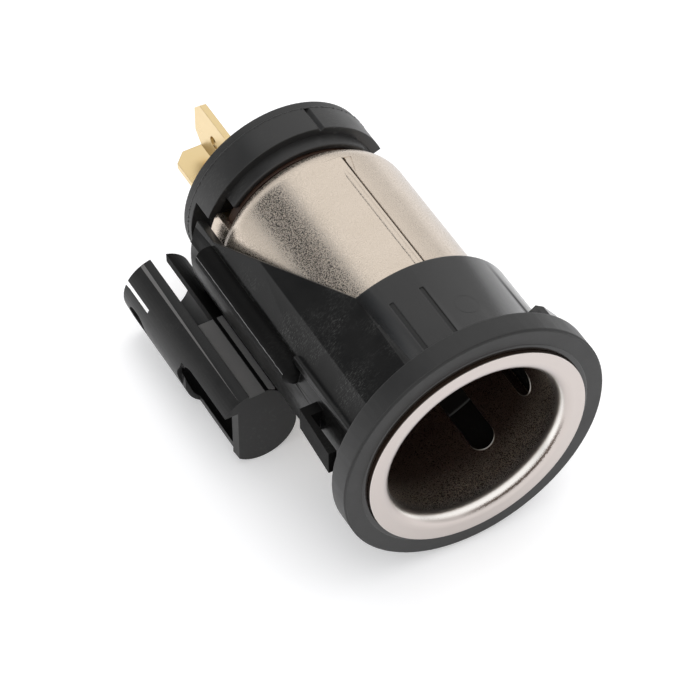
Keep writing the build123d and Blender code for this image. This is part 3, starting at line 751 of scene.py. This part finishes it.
def lamp_slit():
    """Cutter of the narrow slit in the lamp tube's rear end, straight down the mould's draw."""
    along = towards(SLIT_DRAW)
    aside = Vector((along.y, -along.x)) * SLIT_WIDTH / 2
    deep, high = SLIT_PLACE - SLIT_DEPTH * along, SLIT_PLACE + SLIT_HEIGHT * along
    outline = [tuple(corner) for corner in (deep - aside, deep + aside, high + aside, high - aside)]
    return prism("lamp_slit", outline, SLIT_FRONT, LAMP_REAR + CUT_OVERRUN)


def cut_away(piece, cutters):
    """Takes each cutter away from a piece, one after another."""
    for cutter in cutters:
        tool = bpy.data.objects.new(cutter.name, cutter)
        bpy.context.scene.collection.objects.link(tool)
        step = piece.modifiers.new(cutter.name, "BOOLEAN")
        step.operation = "DIFFERENCE"
        step.solver = "EXACT"
        step.object = tool
        graph = bpy.context.evaluated_depsgraph_get()
        result = bpy.data.meshes.new_from_object(piece.evaluated_get(graph))
        piece.modifiers.clear()
        piece.data = result
        bpy.data.objects.remove(tool)


def welded_copy(node, name):
    """Copy of a CAD node's mesh, without finishes and with the points that lie on each other joined."""
    mesh = nodes[node].data.copy()
    mesh.name = name
    mesh.materials.clear()
    shape = bmesh.new()
    shape.from_mesh(mesh)
    bmesh.ops.remove_doubles(shape, verts=shape.verts, dist=WELD_DISTANCE)
    shape.to_mesh(mesh)
    shape.free()
    return mesh


def lamp_gap(x, z):
    """Distance from the lamp tube's middle line."""
    lean = towards(LAMP_LEAN)
    offset = Vector((x, z)) - LAMP_CENTRE
    along = max(-LAMP_STRETCH / 2, min(LAMP_STRETCH / 2, offset.dot(lean)))
    return (offset - along * lean).length


def lamp_region(x, y, z, normal):
    """Region of a face of the lamp tube: channel with painted sheen, sides of the slot, dark as the rib, or
    skin.
    """
    in_channel = abs(z - LAMP_CHANNEL_Z) < REGION_SLACK and normal.z > FACES_UP
    if in_channel and x < SHELF_ACROSS[1]:
        return ON_CHANNEL
    slot_side = x > LAMP_SLOT_RIGHT or normal.x > FACES_RIGHT
    if slot_side and z > LAMP_UPPER and y > LAMP_FRONT + REGION_STEP:
        return ON_RIB
    return ON_LAMP


def bezel_region(centre, normal):
    """Region of a face of the bezel. The sprung finger is finished as the rib is."""
    x, y, z = centre
    if y > LAMP_FRONT - REGION_STEP and lamp_gap(x, z) < LAMP_RADIUS + REGION_SLACK:
        return lamp_region(x, y, z, normal)
    rib = polar(RIB_DISTANCE, RIB_ANGLE, y)
    if y > RIB_NOSE and hypot(x - rib.x, z - rib.z) < RIB_RADIUS + REGION_SLACK:
        return ON_RIB
    behind_flange = y > REGION_STEP
    if behind_flange and y < FINGER_REAR and x < -COLLAR_RADIUS - REGION_SLACK:
        return ON_RIB
    angle = degrees(atan2(z, x)) % 360
    beside_shell = behind_flange and ARM_ANGLES[0] < angle < ARM_ANGLES[1]
    if y > COLLAR_END + REGION_SLACK or beside_shell:
        return ON_ARM
    return ON_COLLAR if behind_flange else ON_FLANGE


def bezel_moulding(finishes):
    """The bezel with its lamp tube opened out, and a finish for each of its regions."""
    made = new_piece("bezel_moulding", welded_copy("bezel_housing", "bezel_moulding"), [])
    cut_away(made, [
        lamp_hollow(),
        lamp_block("lamp_mouth", MOUTH_ACROSS, MOUTH_UPRIGHT, LAMP_FRONT + LAMP_DISC, MOUTH_REAR),
        lamp_block("lamp_under", UNDER_ACROSS, UNDER_UPRIGHT, UNDER_FRONT, LAMP_REAR + CUT_OVERRUN),
        lamp_side_hole(),
        lamp_slit(),
    ])
    mesh = made.data
    mesh.name = "bezel_moulding"
    for finish in finishes:
        mesh.materials.append(finish)
    for face in mesh.polygons:
        face.material_index = bezel_region(face.center, face.normal)
    smooth(mesh, BEZEL_SHARP_ANGLE)
    even = made.modifiers.new("even_shading", "WEIGHTED_NORMAL")
    even.weight = 100
    even.keep_sharp = True
    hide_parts("bezel_housing")


def tongue_webs(finish):
    """Webs that leave the snap tongue's slits as shallow grooves."""
    radii = (COLLAR_RADIUS - TONGUE_WEB_DEPTH, COLLAR_RADIUS - TONGUE_GROOVE)
    reach = (TONGUE_FRONT - TONGUE_WEB_LAP, TONGUE_REAR + TONGUE_WEB_LAP)
    half = degrees(TONGUE_WEB_WIDTH / 2 / COLLAR_RADIUS)
    for side, label in ((-1, "right"), (1, "left")):
        middle = TONGUE_ANGLE + degrees(side * (TONGUE_WIDTH + TONGUE_SLIT) / 2 / COLLAR_RADIUS)
        angles = (middle - half, middle + half)
        name = "tongue_web_" + label
        rounded_arc(name, radii, angles, reach, finish, soft=0.05 * MM, steps=4)


def window_catches(finish):
    """Dark catches behind the shell's windows, at the collar's end."""
    for number, middle in enumerate(WINDOW_ANGLES, 1):
        angles = (middle - CATCH_HALF_ANGLE, middle + CATCH_HALF_ANGLE)
        name = "window_catch_" + str(number)
        rounded_arc(name, CATCH_RADII, angles, CATCH_REACH, finish, soft=0.2 * MM, steps=12)


def recess_lip(finish):
    """Low lip that closes the gap between the flange's recess and the shell's ring."""
    inner = RING_RADIUS + RECESS_LIP_GAP
    profile = [
        (inner, FLANGE_FACE - 0.02 * MM),
        (RECESS_RADIUS - 0.15 * MM, FLANGE_FACE - 0.05 * MM),
        (RECESS_RADIUS + 0.05 * MM, FLANGE_FACE + 0.01 * MM),
        (RECESS_RADIUS, FLANGE_FACE + 0.3 * MM),
        (inner, FLANGE_FACE + 0.5 * MM),
    ]
    revolved("recess_lip", profile, finish, steps=160)


def band_gap_shade_web(finish):
    """Thin black web between the rear washer and the band, a dark sheet that gives the gap its painted
    shade.
    """
    rounded_arc("band_gap_shade_web", BAND_WEB_RADII, BAND_WEB_ANGLES, BAND_WEB_REACH, finish,
                soft=0.15 * MM, steps=60)


def lamp_shelf(finish):
    """Narrow ledge in the lamp tube's mouth, level with its channel and pale with the channel's painted
    sheen.
    """
    left, right = SHELF_ACROSS
    outline = [
        (left, SHELF_LEVEL - SHELF_EDGE),
        (left + SHELF_EDGE, SHELF_LEVEL),
        (right, SHELF_LEVEL),
        (right, SHELF_LEVEL - SHELF_RIGHT_DEPTH),
        (left, SHELF_LEVEL - SHELF_LEFT_DEPTH),
    ]
    new_piece("lamp_shelf", prism("lamp_shelf", outline, *SHELF_REACH), [finish])


def ejector_mark(finish):
    """Faint ring that an ejector pin left on the collar."""
    steps = 48
    points = []
    for i in range(steps + 1):
        turn = 2 * pi * i / steps
        angle = MARK_ANGLE + degrees(MARK_RADIUS * cos(turn) / COLLAR_RADIUS)
        points.append(polar(COLLAR_RADIUS, angle, MARK_PLACE + MARK_RADIUS * sin(turn)))
    bead("ejector_mark", points, MARK_HEIGHT, finish)


def seam_lips(finish):
    """Two rolled lips of the shell along its seam, each with a tapered rear end."""
    steps = 40
    widths = [min(1.0, SEAM_LIP_TIP + SEAM_LIP_TAPER * (steps - i)) for i in range(steps + 1)]
    for label, (depth, aside, radius) in SEAM_LIPS.items():
        points = []
        for i in range(steps + 1):
            y = SEAM_FRONT + (SEAM_REAR - SEAM_FRONT) * i / steps
            points.append(polar(SHELL_RADIUS - depth, SEAM_ANGLE + aside, y))
        bead("seam_lip_" + label, points, radius, finish, widths)


def seam_sliver(finish):
    """Strip that narrows the seam's mouth at the shoulder."""
    rounded_arc("seam_sliver", SLIVER_RADII, SLIVER_ANGLES, SLIVER_REACH, finish,
                soft=0.08 * MM, steps=8)


def window_edges(finish):
    """Bright cut edge round the front end of each window, inside the bore."""
    steps = 24
    widths = [0.3 + 0.7 * cos(radians(-80 + 160 * i / steps)) for i in range(steps + 1)]
    for number, angle in enumerate(WINDOW_ANGLES, 1):
        points = []
        for i in range(steps + 1):
            turn = radians(-90 + 180 * i / steps)
            aside = degrees(WINDOW_HALF * sin(turn) / BORE_RADIUS)
            y = WINDOW_FRONT + WINDOW_HALF * (1 - cos(turn))
            points.append(polar(BORE_RADIUS, angle + aside, y))
        bead("window_edge_" + str(number), points, WINDOW_EDGE_RADIUS, finish, widths)


def rib_flash_highlight(finish):
    """Flash line of the mould along the rib's left side, slightly wandering, pale as a painted highlight on
    that edge.
    """
    middle = polar(RIB_DISTANCE, RIB_ANGLE, 0.0)
    steps = 60
    points = []
    widths = []
    for i in range(steps + 1):
        y = RIB_FRONT + (RIB_REAR - RIB_FRONT) * i / steps
        wander = RIB_FLASH_WANDER * noise.noise(Vector((0.0, 1400.0 * y, 3.0)))
        points.append(middle + polar(RIB_RADIUS, RIB_FLASH_ANGLE + wander, y))
        widths.append(0.75 + 0.5 * noise.noise(Vector((7.0, 2600.0 * y, 1.0))))
    bead("rib_flash_highlight", points, RIB_FLASH_RADIUS, finish, widths)


def band_flash(finish):
    """Ragged flash line where the band meets the plate."""
    first, last = BAND_FLASH_ANGLES
    steps = 220
    points = []
    widths = []
    for i in range(steps + 1):
        angle = first + (last - first) * i / steps
        wander = BAND_FLASH_WANDER * noise.noise(Vector((0.45 * angle, 0.0, 5.0)))
        points.append(polar(BAND_FLASH_DISTANCE, angle, BAND_FLASH_PLACE + wander))
        widths.append(max(0.25, 0.8 + 1.2 * noise.noise(Vector((1.1 * angle, 4.0, 0.0)))))
    bead("band_flash", points, BAND_FLASH_RADIUS, finish, widths)


def dress_nodes(finishes):
    """Puts each finish on the CAD nodes that have it."""
    for name, finish in finishes.items():
        mesh = nodes[name].data
        mesh.materials.clear()
        mesh.materials.append(finish)


def dress_socket():
    """Every finish, and the pieces that carry them."""
    flange = moulded_black("flange_black", tone=0.008, roughness=0.40, shine=0.5, scratches=0.04, cloud=1.3)
    arm = moulded_black("arm_black", tone=0.004, roughness=0.24, shine=0.24, scratches=0.6, cloud=1.8)
    rib = moulded_black("rib_black", tone=0.004, roughness=0.48, shine=0.06, scratches=0.1, cloud=1.4,
                        edge=CRISP_EDGE)
    lamp = moulded_black("lamp_black", tone=0.006, roughness=0.36, shine=0.36, scratches=0.1, cloud=2.2,
                         edge=CRISP_EDGE)
    # The channel's pale tone is painted sheen on up-facing black plastic; its rough matte skin is real
    channel = moulded_black("lamp_channel_sheen", tone=0.11, roughness=0.62, shine=0.5, scratches=0.1,
                            cloud=1.3)
    collar = moulded_black("collar_black", tone=0.007, roughness=0.10, shine=0.5, scratches=0.05, cloud=1.5)
    band = band_plastic("band_black", tone=0.010, roughness=0.34)
    nickel = nickel_plate()
    brass = sheet_metal("brass_strip", BRASS_SHADE, BRASS_LIGHT, roughness=0.22)
    steel = sheet_metal("rivet_steel", STEEL_SHADE, STEEL_LIGHT, roughness=0.30)
    board = phenolic_board()
    dress_nodes({
        "bezel_housing": flange,
        "socket_shell": nickel,
        "terminal_shroud": band,
        "back_plate": band_plastic("plate_black", tone=0.010, roughness=0.40),
        "rear_insulator": board,
        "inner_insulator": board,
        "centre_contact": brass,
        "positive_blade": brass,
        "ground_blade": brass,
        "centre_rivet": steel,
        "ground_rivet": steel,
    })
    bezel_moulding([flange, arm, rib, lamp, channel, collar])
    tongue_webs(lamp)
    window_catches(lamp)
    recess_lip(collar)
    band_gap_shade_web(band)
    lamp_shelf(channel)
    ejector_mark(collar)
    seam_lips(nickel)
    seam_sliver(nickel)
    window_edges(steel)
    rib_flash_highlight(flash_highlight_plastic())
    band_flash(band)


def floor():
    """Plain pale floor under the socket."""
    bpy.ops.mesh.primitive_plane_add(size=FLOOR_SIZE, location=(0, 0, FLOOR_Z))
    sheet = bpy.context.object
    sheet.name = "floor"
    made, tree, shader = new_material("floor_paper")
    grain = add(tree, "ShaderNodeTexNoise", {"Scale": 30.0, "Detail": 3.0}).outputs[0]
    colour = blend(tree, grain, FLOOR_SHADE, FLOOR_LIGHT)
    feed(tree, shader, Base_Color=colour, Roughness=0.9, Emission_Color=WHITE, Emission_Strength=0.3)
    sheet.data.materials.append(made)


def overhead_light():
    """Soft square light over the socket, not seen in its reflections."""
    light = bpy.data.lights.new("overhead", "AREA")
    light.shape = "RECTANGLE"
    light.size = OVERHEAD_SIZE
    light.size_y = OVERHEAD_SIZE
    light.energy = OVERHEAD_POWER
    made = bpy.data.objects.new("overhead", light)
    made.location = OVERHEAD_PLACE
    made.rotation_euler = (OVERHEAD_TARGET - OVERHEAD_PLACE).to_track_quat("-Z", "Y").to_euler()
    made.visible_glossy = False
    bpy.context.scene.collection.objects.link(made)


def white_tent():
    """White tent over the socket, brighter upwards, with a dim opening at the back left."""
    world = bpy.data.worlds.new("studio")
    bpy.context.scene.world = world
    world.use_nodes = True
    tree = world.node_tree
    direction = add(tree, "ShaderNodeTexCoord").outputs["Generated"]
    dim = ramp(tree, dot(tree, direction, DIM_SIDE), cos(radians(DIM_OUTER)), cos(radians(DIM_INNER)))
    height = add(tree, "ShaderNodeSeparateXYZ", {0: direction}).outputs[2]
    tent = ramp(tree, height, 0.0, TENT_RISE, TENT_LOW, TENT_HIGH)
    strength = product(tree, tent, raised(tree, 1.0, dim, by=-DIM_AMOUNT))
    colour = blend(tree, dim, WHITE, DIM_TINT)
    background = tree.nodes["Background"]
    tree.links.new(strength, background.inputs["Strength"])
    tree.links.new(colour, background.inputs["Color"])


def camera():
    """Camera at the photograph's viewing angle."""
    turn = radians(VIEW_AZIMUTH)
    rise = radians(VIEW_ELEVATION)
    back = Vector((sin(turn) * cos(rise), -cos(turn) * cos(rise), sin(rise)))
    right = Vector((cos(turn), sin(turn), 0.0))
    up = back.cross(right)
    made = bpy.data.objects.new("camera", bpy.data.cameras.new("camera"))
    made.data.sensor_width = SENSOR_WIDTH
    made.data.lens = FOCAL_PIXELS * SENSOR_WIDTH / IMAGE_SIZE
    made.data.clip_start = VIEW_NEAREST
    place = VIEW_CENTRE + back * VIEW_DISTANCE
    made.matrix_world = Matrix.Translation(place) @ Matrix((right, up, back)).transposed().to_4x4()
    bpy.context.scene.collection.objects.link(made)
    bpy.context.scene.camera = made


dress_socket()
floor()
overhead_light()
white_tent()
camera()
bpy.context.scene.view_settings.view_transform = "Standard"
